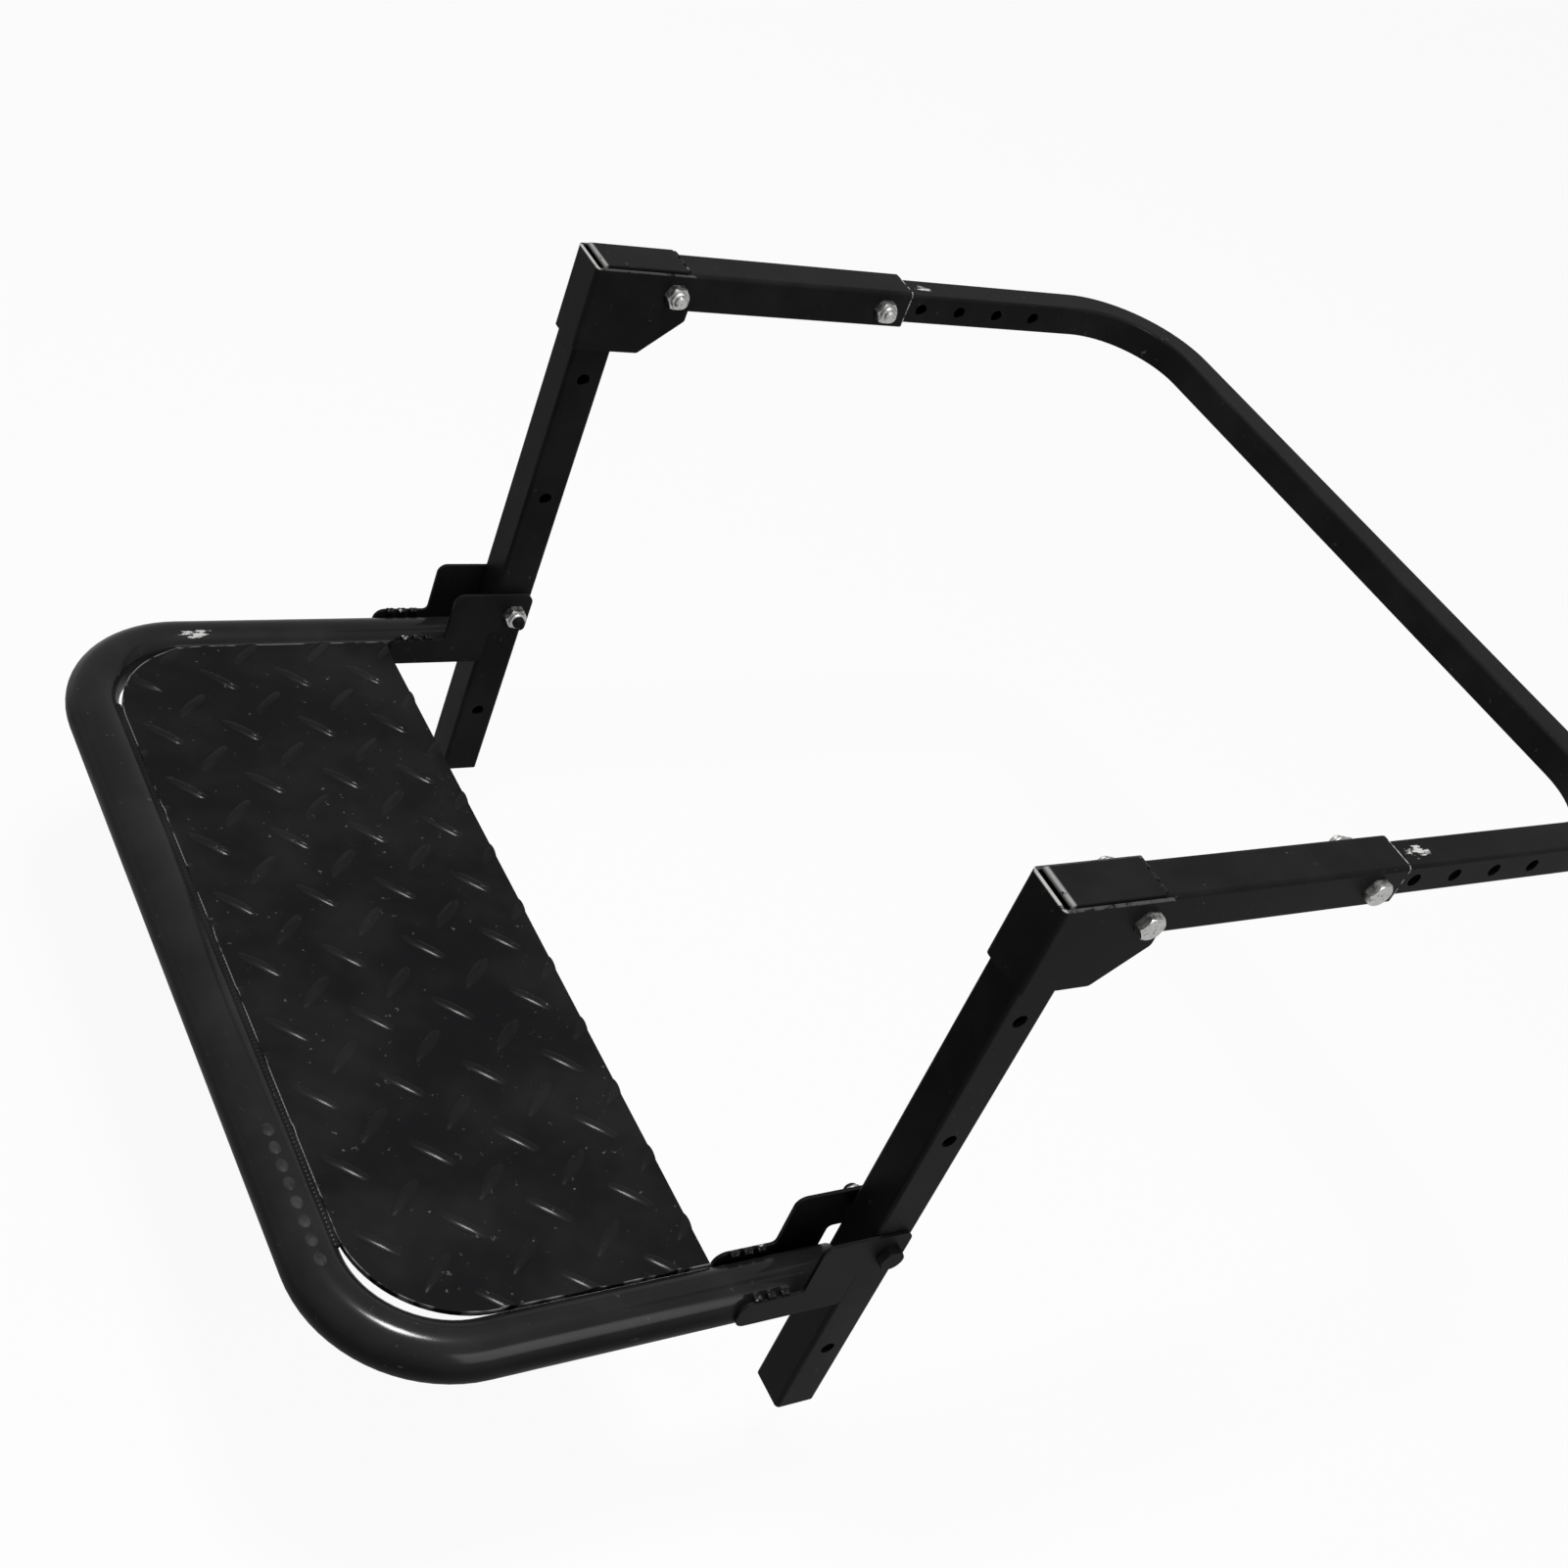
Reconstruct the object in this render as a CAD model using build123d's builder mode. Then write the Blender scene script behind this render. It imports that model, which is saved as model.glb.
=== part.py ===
"""Folding tire step: a platform that hangs from two arms laid across a tyre.

Millimetres, +Z up. The origin is the corner that the tyre sits in: X = 0 on the inboard faces of the
legs, with +X towards the vehicle; Y = 0 on the plane of symmetry, with the left side at +Y; and Z = 0
on the undersides of the arms. The step is modelled unfolded, as it is used.
"""
import os
from math import cos, pi, sqrt

from build123d import *

# Square tube of the legs and of the arm sleeves
tube_width = 25.0
tube_wall = 2.0
tube_corner = 2.5
least_inside_corner = 0.5  # of a square tube's bore

# Legs
leg_spacing = 522.0        # between the two leg axes
leg_top_gap = 0.3          # between a leg's top end and the sleeve that lies over it
leg_hole_count = 4
leg_hole_pitch = 86.4
leg_first_hole = 50.0      # below the undersides of the arms
leg_foot = 52.1            # below the lowest hole
step_hole = 2              # the hole that carries the step, where 0 is the top one

# Bolts and self-locking nuts, size M8
bolt_size = 8.0
bolt_play = 0.08           # around a shank, in every hole
hex_flats = 13.0
hex_chamfer = 0.9
head_height = 5.3
nut_hex_height = 5.5
nut_collar_height = 2.5
nut_collar_round = 1.2
thread_tail = 2.5          # of a bolt beyond its nut
bolt_point = 1.0           # chamfer at a bolt's end

# Corner brackets, folded from sheet
sheet = 2.0
sheet_bend = 1.2           # inside radius of a fold
gusset_gap = 0.3           # between a gusset and the tubes between the gussets
bracket_drop = 28.0        # below the undersides of the arms
gusset_foot = 15.5         # lower edge of a gusset, inboard of the leg
gusset_nose = 12.0         # inboard end of a gusset, beyond its bolt
gusset_nose_drop = 17.0    # upper end of the diagonal cut, below its bolt
gusset_round = 3.0

# Arm sleeves and the plates on top of their outboard ends
arm_pivot_inset = 28.5     # of the arm's bolt, inboard of the legs' inboard faces
sleeve_tail = 50.0         # outboard of the bolt
sleeve_reach = 171.0       # inboard of the bolt
top_plate_thickness = 2.0
top_plate_overhang = 0.5   # beyond the sleeve's outboard end
top_plate_reach = 6.0      # inboard of the bolt
top_plate_nose = 1.2       # rounding of the outboard upper edge
top_plate_break = 0.4      # chamfer of the other upper edges

# Hook bar, which slides in the sleeves
bar_play = 0.5             # between the bar and the inside of a sleeve
bar_wall = 1.8
bar_corner = 2.0
bar_bend = 64.0            # radius of the bends, on the bar's axis
bar_tail = 20.0            # from the first setting hole to the bar's end
bar_run = 38.0             # from the last setting hole to the bend
setting_count = 5
setting_pitch = 30.7
lock_inset = 18.0          # of the lock bolt, from the sleeve's inboard end

# Step frame of round tube, and the ears on its ends
ear_gap = 0.4              # between a leg and its outer ear
ear_play = 4.0             # between a leg and its inner ear
frame_wall = 2.0
frame_bend = 64.0          # radius of the bends, on the tube's axis
frame_drop = 33.1          # of the tube's axis, below the pivot
frame_reach = 273.2        # of the outer bar's axis, outboard of the pivot
frame_stop_gap = 0.4       # between the tube's ends and the legs that stop them
ear_thickness = 2.0
ear_top = 15.2             # above the pivot
ear_nose = 10.6            # inboard of the pivot
ear_nose_drop = 13.3       # below the pivot
ear_shoulder = 43.3        # outboard of the pivot
ear_tail = 79.0            # outboard of the pivot
ear_tail_rise = 12.6       # above the tube's axis
ear_tail_drop = 5.2        # below the tube's axis
ear_heel_gap = 1.5         # between the ear's lower part and the leg's outboard face
ear_corner = 3.0
ear_nose_corner = 6.0
ear_tail_corner = 7.0

# Tread plate of checker plate
plate_thickness = 3.0
plate_rise = 10.0          # upper face, above the tube's axis
plate_seat_gap = 0.05      # between the plate's lower edges and the tube
plate_ear_gap = 3.5        # between the plate and the tails of the ears
plate_corner = 62.0
lug_columns = 4
lug_rows = 11
lug_pitch = 45.7
lug_length = 28.0
lug_width = 7.6
lug_height = 1.2
crest_length = 16.0
crest_width = 2.2
lug_turn = 45.0            # degrees, either way from X
lug_shift = (-3.1, -13.5)  # of the pattern's centre, from the plate's centre

# Places that follow from the sizes
sides = {"left": 1, "right": -1}
half_tube = tube_width / 2
half_spacing = leg_spacing / 2
bolt_hole = bolt_size / 2 + bolt_play
hex_corners = hex_flats / cos(pi / 6)
nut_height = nut_hex_height + nut_collar_height

leg_x = -half_tube
leg_holes = [-(leg_first_hole + i * leg_hole_pitch) for i in range(leg_hole_count)]
leg_bottom = leg_holes[-1] - leg_foot

arm_pivot = (arm_pivot_inset, half_tube)
bracket_top = tube_width
bracket_half_inside = half_tube + gusset_gap
bracket_half = bracket_half_inside + sheet

sleeve_outboard = arm_pivot_inset - sleeve_tail
sleeve_inboard = arm_pivot_inset + sleeve_reach
lock_x = sleeve_inboard - lock_inset

bar_width = tube_width - 2 * (tube_wall + bar_play)
setting_holes = [lock_x + i * setting_pitch for i in range(setting_count)]
bar_end = lock_x - bar_tail
back_bar_x = setting_holes[-1] + bar_run + bar_bend

step_pivot = (leg_x, leg_holes[step_hole])
frame_diameter = tube_width + ear_gap + ear_play
frame_radius = frame_diameter / 2
frame_y = half_spacing + half_tube + ear_gap - frame_radius
frame_z = step_pivot[1] - frame_drop
frame_end = -tube_width - frame_stop_gap
outer_bar_x = leg_x - frame_reach
ear_heel = -tube_width - ear_heel_gap

plate_top = frame_z + plate_rise
plate_bottom = plate_top - plate_thickness
plate_edge = sqrt(frame_radius**2 - (plate_rise - plate_thickness) ** 2) + plate_seat_gap
plate_outboard = outer_bar_x + plate_edge
plate_inboard = leg_x - ear_tail - plate_ear_gap
plate_half = frame_y - plate_edge
plate_centre = (plate_outboard + plate_inboard) / 2


def square_tube(width, wall, corner):
    """Draw a hollow square section in the sketch that is open."""
    RectangleRounded(width, width, corner)
    inside = width - 2 * wall
    RectangleRounded(inside, inside, max(corner - wall, least_inside_corner), mode=Mode.SUBTRACT)


def cross_holes(places, radius):
    """Drill the open part along Y at each (x, z) place."""
    with BuildSketch(Plane.XZ) as holes:
        with Locations(*places):
            Circle(radius)
    extrude(holes.sketch, amount=leg_spacing, both=True, mode=Mode.SUBTRACT)


def hex_prism(seat, height):
    """Raise a hexagon, with its far corners chamfered, from the plane of its seat."""
    with BuildSketch(seat) as disc:
        Circle(hex_corners / 2)
    extrude(disc.sketch, amount=height)
    chamfer(faces().sort_by(Axis(seat.origin, seat.z_dir))[-1].edges(), hex_chamfer)
    with BuildSketch(seat) as hexagon:
        RegularPolygon(hex_corners / 2, 6)
    extrude(hexagon.sketch, amount=height, mode=Mode.INTERSECT)


def bolt_pair(place, outer_face, grip):
    """A left bolt through (x, z) and its mirror image. The head lies on the face at y = outer_face."""
    seat = Plane((place[0], outer_face, place[1]), x_dir=(1, 0, 0), z_dir=(0, 1, 0))
    hex_prism(seat, head_height)
    with BuildSketch(seat) as shank:
        Circle(bolt_size / 2)
    extrude(shank.sketch, amount=-(grip + nut_height + thread_tail))
    chamfer(edges().filter_by(GeomType.CIRCLE).sort_by(Axis.Y)[0], bolt_point)
    mirror(about=Plane.XZ)


def nut_pair(place, inner_face):
    """A left nut around (x, z) and its mirror image, seated on the face at y = inner_face."""
    seat = Plane((place[0], inner_face, place[1]), x_dir=(1, 0, 0), z_dir=(0, -1, 0))
    hex_prism(seat, nut_hex_height)
    with BuildSketch(seat.offset(nut_hex_height)) as collar:
        Circle(hex_flats / 2 - hex_chamfer)
    extrude(collar.sketch, amount=nut_collar_height)
    fillet(edges().filter_by(GeomType.CIRCLE).sort_by(Axis.Y)[0], nut_collar_round)
    with BuildSketch(seat) as bore:
        Circle(bolt_hole)
    extrude(bore.sketch, amount=nut_height, mode=Mode.SUBTRACT)
    mirror(about=Plane.XZ)


def finish(builder, name):
    """Label a finished piece and write it."""
    builder.part.label = name
    export_step(builder.part, f"parts/{name}.step")


os.makedirs("parts", exist_ok=True)

# Legs
for side, sign in sides.items():
    with BuildPart() as leg:
        with BuildSketch(Plane.XY.offset(-leg_top_gap)):
            with Locations((leg_x, sign * half_spacing)):
                square_tube(tube_width, tube_wall, tube_corner)
        extrude(amount=leg_bottom + leg_top_gap)
        cross_holes([(leg_x, z) for z in leg_holes], bolt_hole)
    finish(leg, f"{side}_leg")

# Corner brackets: a channel around the leg, cut to the gussets' outline
web_outboard = -tube_width - sheet
gusset_end = arm_pivot_inset + gusset_nose
for side, sign in sides.items():
    with BuildPart() as corner_bracket:
        low_face = sign * half_spacing - bracket_half_inside
        high_face = sign * half_spacing + bracket_half_inside
        with BuildSketch(Plane.XY.offset(-bracket_drop)):
            with BuildLine():
                FilletPolyline(
                    (gusset_end, low_face),
                    (-tube_width, low_face),
                    (-tube_width, high_face),
                    (gusset_end, high_face),
                    radius=sheet_bend,
                )
                offset(amount=sheet, side=Side.LEFT)
            make_face()
        extrude(amount=bracket_drop + bracket_top)
        with BuildSketch(Plane.XZ):
            with BuildLine():
                FilletPolyline(
                    (web_outboard, bracket_top),
                    (web_outboard, -bracket_drop),
                    (gusset_foot, -bracket_drop),
                    (gusset_end, arm_pivot[1] - gusset_nose_drop),
                    (gusset_end, bracket_top),
                    radius=[0, 0, gusset_round, gusset_round, gusset_round],
                    close=True,
                )
            make_face()
        extrude(amount=leg_spacing, both=True, mode=Mode.INTERSECT)
        cross_holes([arm_pivot], bolt_hole)
    finish(corner_bracket, f"{side}_corner_bracket")

# Arm sleeves
for side, sign in sides.items():
    with BuildPart() as sleeve:
        with BuildSketch(Plane.YZ.offset(sleeve_outboard)):
            with Locations((sign * half_spacing, half_tube)):
                square_tube(tube_width, tube_wall, tube_corner)
        extrude(amount=sleeve_inboard - sleeve_outboard)
        cross_holes([arm_pivot, (lock_x, half_tube)], bolt_hole)
    finish(sleeve, f"{side}_sleeve")

# Top plates, which swing between the gussets as the arms fold
top_plate_outboard = sleeve_outboard - top_plate_overhang
top_plate_length = arm_pivot_inset + top_plate_reach - top_plate_outboard
for side, sign in sides.items():
    with BuildPart() as top_plate:
        with BuildSketch(Plane.XY.offset(tube_width)):
            with Locations((top_plate_outboard, sign * half_spacing)):
                Rectangle(top_plate_length, tube_width, align=(Align.MIN, Align.CENTER))
        extrude(amount=top_plate_thickness)
        upper = top_plate.edges().group_by(Axis.Z)[-1].sort_by(Axis.X)
        chamfer(upper[1:], top_plate_break)
        fillet(top_plate.edges().group_by(Axis.Z)[-1].sort_by(Axis.X)[0], top_plate_nose)
    finish(top_plate, f"{side}_top_plate")

# Hook bar
with BuildPart() as hook_bar:
    with BuildLine(Plane.XY.offset(half_tube)) as hook_path:
        FilletPolyline(
            (bar_end, half_spacing),
            (back_bar_x, half_spacing),
            (back_bar_x, -half_spacing),
            (bar_end, -half_spacing),
            radius=bar_bend,
        )
    with BuildSketch(Plane(hook_path.line @ 0, z_dir=hook_path.line % 0)):
        square_tube(bar_width, bar_wall, bar_corner)
    sweep(path=hook_path.line)
    cross_holes([(x, half_tube) for x in setting_holes], bolt_hole)
finish(hook_bar, "hook_bar")

# Step frame
with BuildPart() as step_frame:
    with BuildLine(Plane.XY.offset(frame_z)) as frame_path:
        FilletPolyline(
            (frame_end, frame_y),
            (outer_bar_x, frame_y),
            (outer_bar_x, -frame_y),
            (frame_end, -frame_y),
            radius=frame_bend,
        )
    with BuildSketch(Plane(frame_path.line @ 0, z_dir=frame_path.line % 0)):
        Circle(frame_radius)
        Circle(frame_radius - frame_wall, mode=Mode.SUBTRACT)
    sweep(path=frame_path.line)
finish(step_frame, "step_frame")

# Ears: the tube lies between them, and they reach up and inboard to the pivot on both sides of the leg
ear_places = {"outer": frame_y + frame_radius, "inner": frame_y - frame_radius - ear_thickness}
for side, sign in sides.items():
    for place, near_face in ear_places.items():
        with BuildPart() as ear:
            with BuildSketch(Plane.XZ.offset(-sign * near_face)):
                with BuildLine():
                    FilletPolyline(
                        (leg_x - ear_tail, frame_z - ear_tail_drop),
                        (ear_heel, frame_z - ear_tail_drop),
                        (ear_heel, step_pivot[1] - ear_nose_drop),
                        (leg_x + ear_nose, step_pivot[1] - ear_nose_drop),
                        (leg_x + ear_nose, step_pivot[1] + ear_top),
                        (leg_x - ear_shoulder, step_pivot[1] + ear_top),
                        (leg_x - ear_shoulder, frame_z + ear_tail_rise),
                        (leg_x - ear_tail, frame_z + ear_tail_rise),
                        radius=[
                            ear_tail_corner,
                            ear_corner,
                            ear_corner,
                            ear_corner,
                            ear_nose_corner,
                            ear_nose_corner,
                            ear_corner,
                            ear_tail_corner,
                        ],
                        close=True,
                    )
                make_face()
            extrude(amount=-sign * ear_thickness)
            cross_holes([step_pivot], bolt_hole)
        finish(ear, f"{side}_{place}_ear")

# One lug of the checker plate: its foot and its crest lie between two arcs each
with BuildPart() as lug:
    for height, length, width in ((0, lug_length, lug_width), (lug_height, crest_length, crest_width)):
        with BuildSketch(Plane.XY.offset(height)):
            with BuildLine():
                ThreePointArc((-length / 2, 0), (0, width / 2), (length / 2, 0))
                ThreePointArc((length / 2, 0), (0, -width / 2), (-length / 2, 0))
            make_face()
    loft()

# Tread plate: lugs stand at right angles to their neighbours, and end at the plate's edges
with BuildPart() as tread_plate:
    with BuildSketch(Plane.XY.offset(plate_bottom)) as plate_outline:
        with Locations((plate_centre, 0)):
            Rectangle(plate_inboard - plate_outboard, 2 * plate_half)
        fillet(plate_outline.vertices().group_by(Axis.X)[0], plate_corner)
    extrude(amount=plate_thickness)
    with Locations((plate_centre + lug_shift[0], lug_shift[1], plate_top)):
        with GridLocations(lug_pitch, lug_pitch, lug_columns, lug_rows):
            add(lug.part, rotation=(0, 0, -lug_turn))
        with GridLocations(lug_pitch, lug_pitch, lug_columns + 1, lug_rows + 1):
            add(lug.part, rotation=(0, 0, lug_turn))
    extrude(plate_outline.sketch, amount=plate_thickness + lug_height, mode=Mode.INTERSECT)
finish(tread_plate, "tread_plate")

# Fasteners of the arms' pivots, which run through the gussets and the sleeve
with BuildPart() as arm_pivot_bolts:
    bolt_pair(arm_pivot, half_spacing + bracket_half, 2 * bracket_half)
finish(arm_pivot_bolts, "arm_pivot_bolts")

with BuildPart() as arm_pivot_nuts:
    nut_pair(arm_pivot, half_spacing - bracket_half)
finish(arm_pivot_nuts, "arm_pivot_nuts")

# Fasteners of the step's pivots, which run through both ears and the leg
with BuildPart() as step_pivot_bolts:
    bolt_pair(step_pivot, frame_y + frame_radius + ear_thickness, frame_diameter + 2 * ear_thickness)
finish(step_pivot_bolts, "step_pivot_bolts")

with BuildPart() as step_pivot_nuts:
    nut_pair(step_pivot, frame_y - frame_radius - ear_thickness)
finish(step_pivot_nuts, "step_pivot_nuts")

# Fasteners that lock the hook bar in the sleeves
with BuildPart() as lock_bolts:
    bolt_pair((lock_x, half_tube), half_spacing + half_tube, tube_width)
finish(lock_bolts, "lock_bolts")

with BuildPart() as lock_nuts:
    nut_pair((lock_x, half_tube), half_spacing - half_tube)
finish(lock_nuts, "lock_nuts")
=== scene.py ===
"""Folding tire step: powder coat, zinc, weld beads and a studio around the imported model.

Metres, in the frame of the CAD model: +X towards the vehicle, +Y to the left side, +Z up.
"""
from math import cos, radians, sin, sqrt

import bmesh
import bpy
from bpy.props import FloatProperty, FloatVectorProperty, IntProperty, PointerProperty
from mathutils import Matrix, Vector


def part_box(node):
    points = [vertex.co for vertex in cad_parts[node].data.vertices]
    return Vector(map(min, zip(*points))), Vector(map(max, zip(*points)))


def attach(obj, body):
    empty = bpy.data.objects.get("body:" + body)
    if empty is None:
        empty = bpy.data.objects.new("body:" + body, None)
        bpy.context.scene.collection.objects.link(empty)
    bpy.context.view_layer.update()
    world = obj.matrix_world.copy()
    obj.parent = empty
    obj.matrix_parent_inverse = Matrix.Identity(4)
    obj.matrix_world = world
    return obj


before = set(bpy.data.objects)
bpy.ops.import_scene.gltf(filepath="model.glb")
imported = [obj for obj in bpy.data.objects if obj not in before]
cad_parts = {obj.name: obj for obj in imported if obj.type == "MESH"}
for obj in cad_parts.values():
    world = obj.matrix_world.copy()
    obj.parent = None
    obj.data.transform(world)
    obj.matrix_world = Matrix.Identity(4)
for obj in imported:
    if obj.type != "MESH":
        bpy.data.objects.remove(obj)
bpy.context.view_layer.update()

bl_info = {
    "name": "Folding Tire Step",
    "version": (1, 0, 0),
    "blender": (4, 5, 0),
    "location": "View3D > Sidebar > Tire Step",
    "description": "Finishes, welds and studio for a folding tire step",
    "category": "Object",
}

MM = 0.001
SIDES = {"left": 1, "right": -1}

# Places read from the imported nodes
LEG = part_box("left_leg")
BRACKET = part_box("left_corner_bracket")
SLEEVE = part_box("left_sleeve")
TOP_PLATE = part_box("left_top_plate")
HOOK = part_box("hook_bar")
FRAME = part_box("step_frame")
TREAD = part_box("tread_plate")
OUTER_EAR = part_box("left_outer_ear")
INNER_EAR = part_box("left_inner_ear")

LEG_Y = (LEG[0][1] + LEG[1][1]) / 2
TUBE_RADIUS = (FRAME[1][2] - FRAME[0][2]) / 2
TUBE_Z = (FRAME[0][2] + FRAME[1][2]) / 2
TUBE_Y = FRAME[1][1] - TUBE_RADIUS
OUTER_BAR_X = FRAME[0][0] + TUBE_RADIUS

# Sizes of the CAD model that no box shows
CAD_LUG_HEIGHT = 1.2 * MM
PLATE_TOP = TREAD[1][2] - CAD_LUG_HEIGHT
PLATE_CORNER = 62 * MM
BEND_RADIUS = 64 * MM
EAR_NECK = 54 * MM


# Settings


class PaintSettings(bpy.types.PropertyGroup):
    """Satin black powder coat of the tubes, brackets and tread plate."""

    colour: FloatVectorProperty(
        name="Colour", description="Colour of the powder coat", subtype="COLOR", size=3,
        min=0.0, max=1.0, default=(0.005, 0.005, 0.0055),
    )
    # Also the colour of the painted highlights on edges, seams and welds, and of the ripples' painted sheen
    bare_and_highlight_colour: FloatVectorProperty(
        name="Bare metal", description="Colour where the coat is rubbed through", subtype="COLOR", size=3,
        min=0.0, max=1.0, default=(0.34, 0.34, 0.33),
    )
    roughness: FloatProperty(
        name="Roughness", description="Mean roughness of the coat", subtype="FACTOR",
        min=0.0, max=1.0, default=0.42,
    )
    peel: FloatProperty(
        name="Orange peel", description="Height of the coat's small waves", unit="LENGTH",
        min=0.0, max=0.001, default=0.000012, precision=6,
    )


class ZincSettings(bpy.types.PropertyGroup):
    """Zinc plating of the nuts and bolts."""

    colour: FloatVectorProperty(
        name="Colour", description="Colour of the plating", subtype="COLOR", size=3,
        min=0.0, max=1.0, default=(0.42, 0.42, 0.41),
    )
    roughness: FloatProperty(
        name="Roughness", description="Mean roughness of the plating", subtype="FACTOR",
        min=0.0, max=1.0, default=0.34,
    )


class LugSettings(bpy.types.PropertyGroup):
    """Raised lugs of the checker plate."""

    length: FloatProperty(
        name="Length", description="Length of a lug", unit="LENGTH", min=0.005, max=0.05, default=0.0284,
    )
    width: FloatProperty(
        name="Width", description="Width of a lug", unit="LENGTH", min=0.001, max=0.02, default=0.0079,
    )
    height: FloatProperty(
        name="Height", description="Height of a lug over its foot", unit="LENGTH",
        min=0.0005, max=0.005, default=0.0016,
    )
    pitch: FloatProperty(
        name="Pitch", description="Distance between lugs that lie the same way", unit="LENGTH",
        min=0.01, max=0.1, default=0.0457,
    )
    segments: IntProperty(
        name="Segments", description="Sides of a lug's outline", min=8, max=32, default=16,
    )


class WeldSettings(bpy.types.PropertyGroup):
    """Weld beads."""

    width: FloatProperty(
        name="Width", description="Width of a bead", unit="LENGTH", min=0.001, max=0.01, default=0.0042,
    )
    height: FloatProperty(
        name="Height", description="Full depth of a bead's section", unit="LENGTH",
        min=0.001, max=0.01, default=0.0030,
    )
    pitch: FloatProperty(
        name="Pitch", description="Length of one scale of a bead", unit="LENGTH",
        min=0.001, max=0.01, default=0.0026,
    )
    segments: IntProperty(
        name="Segments", description="Sides of a bead's section", min=6, max=32, default=12,
    )


class StageSettings(bpy.types.PropertyGroup):
    """Floor, lamps and room."""

    floor_drop: FloatProperty(
        name="Floor drop", description="Distance of the floor below the legs", unit="LENGTH",
        min=0.0, max=1.0, default=0.05,
    )
    floor_colour: FloatVectorProperty(
        name="Floor", description="Colour of the floor", subtype="COLOR", size=3,
        min=0.0, max=1.0, default=(0.45, 0.45, 0.45),
    )
    overhead_power: FloatProperty(
        name="Overhead lamp", description="Power of the lamp over the tread plate", unit="POWER",
        min=0.0, max=500.0, default=52.0,
    )
    side_power: FloatProperty(
        name="Side lamp", description="Power of the soft lamp on the right side", unit="POWER",
        min=0.0, max=500.0, default=26.0,
    )
    room_level: FloatProperty(
        name="Room light", description="Strength of the even light from all round",
        min=0.0, max=2.0, default=0.25,
    )
    backdrop_level: FloatProperty(
        name="Backdrop", description="Brightness of the room where it is seen or reflected",
        min=0.0, max=1.0, default=0.65,
    )
    shadow_share: FloatProperty(
        name="Shadow", description="Share of the lamps' own light and shade that shows on the floor",
        subtype="FACTOR", min=0.0, max=1.0, default=0.06,
    )


# Noise of the finishes, as scale, detail and roughness
CLOUD_NOISE = (17.0, 3.0, 0.6)
PEEL_NOISE = (620.0, 1.0, 0.4)
GRIT_NOISE = (210.0, 4.0, 0.7)
SCRATCH_NOISE = (1.0, 3.0, 0.65)
CHIP_DETAIL = (3.0, 0.65)
TARNISH_NOISE = (260.0, 3.0, 0.6)
GRIME_NOISE = (420.0, 4.0, 0.7)
PLATING_NOISE = (900.0, 2.0, 0.5)
RIPPLE_NOISE = (140.0, 2.0, 0.5)
FLOOR_NOISE = (3.0, 2.0, 0.5)

# Values between which a mask fades in
CLOUD_FADE = (0.35, 0.75)
MIDDLE_FADE = (0.3, 0.7)
DUST_FADE = (0.66, 0.74)
OVAL_FADE = (1.0, 0.1)
SCRATCH_FADE = (0.0, 0.07)
LINE_FADE = (1.0, 0.4)
CHIP_FADE = (0.0, 0.12)
UPWARD_FADE = (0.25, 0.85)
GRIME_FADE = (0.5, 0.68)
RIPPLE_FADE = (0.25, 0.75)

# The powder coat's clouds, dust and bare spots
CLOUD_COLOUR = (0.014, 0.014, 0.014, 1.0)
CLOUD_SHARE = 0.5
CLOUD_ROUGHNESS = (-0.07, 0.09)
DUST_COLOUR = (0.09, 0.09, 0.088, 1.0)
DUST_ROUGHNESS = 0.2
FRAME_DUST = 0.5
TREAD_DUST = 0.9
BARE_POLISH = 0.08
SPECULAR_LEVEL = 0.025

# Roughness of the glossy coat, and its weights on faces that look up and on the lugs
COAT_ROUGHNESS = 0.16
FRAME_GLOSS = 0.02
TUBE_GLOSS = 0.3
WELD_GLOSS = 0.16
SEAM_GLOSS = 0.1
LUG_GLOSS = 0.1
LUG_GLOSS_RISE = (0.1 * MM, 0.3 * MM)

# Worn edges, painted edge highlights and painted glints: width, noise level where the bare colour starts, and
# scale of that noise
BRACKET_EDGE_WEAR_AND_HIGHLIGHT = (0.7 * MM, 0.36, 150.0)
TOP_PLATE_WEAR_AND_HIGHLIGHT = (3.0 * MM, 0.28, 240.0)
SLEEVE_WEAR_AND_HIGHLIGHT = (0.8 * MM, 0.42, 200.0)
TREAD_EDGE_WEAR_AND_HIGHLIGHT = (0.8 * MM, 0.44, 45.0)
SEAM_LINE_WEAR_AND_HIGHLIGHT = (1.1 * MM, 0.40, 32.0)
WELD_GLINT_SPOTS = (1.0, 0.6, 260.0)

# How strongly the bare colour shows for worn paint and painted highlights: the bracket's on its gussets and
# on its web, with the places in X between them
BRACKET_BARE_AND_HIGHLIGHT = (0.10, 0.75)
WEB_FADE = (BRACKET[0][0] + 2.6 * MM, BRACKET[0][0] + 1.4 * MM)
TOP_PLATE_BARE_AND_HIGHLIGHT = 0.5
TREAD_BARE_AND_HIGHLIGHT = 0.35
SEAM_BARE_AND_HIGHLIGHT = 0.9
# Painted sheen of the bend ripples, as shares of the bare colour
RIPPLE_SHEEN = (0.02, 0.08)

# Scuff patches: half size and scale of the scratches, and how bare they are
BAR_SCUFF = ((22 * MM, 11 * MM, 4 * MM), (110.0, 380.0, 300.0))
BAR_SCUFF_X = SLEEVE[1][0] + 15 * MM
BAR_SCUFF_SHARES = {"right": 0.56, "left": 0.47}
TUBE_SCUFF = ((24 * MM, 9 * MM, 9 * MM), (170.0, 520.0, 400.0))
TUBE_SCUFF_CENTRE = (OUTER_BAR_X + 72 * MM, TUBE_Y - 6 * MM, FRAME[1][2])
TUBE_SCUFF_SHARE = 0.60

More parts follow.
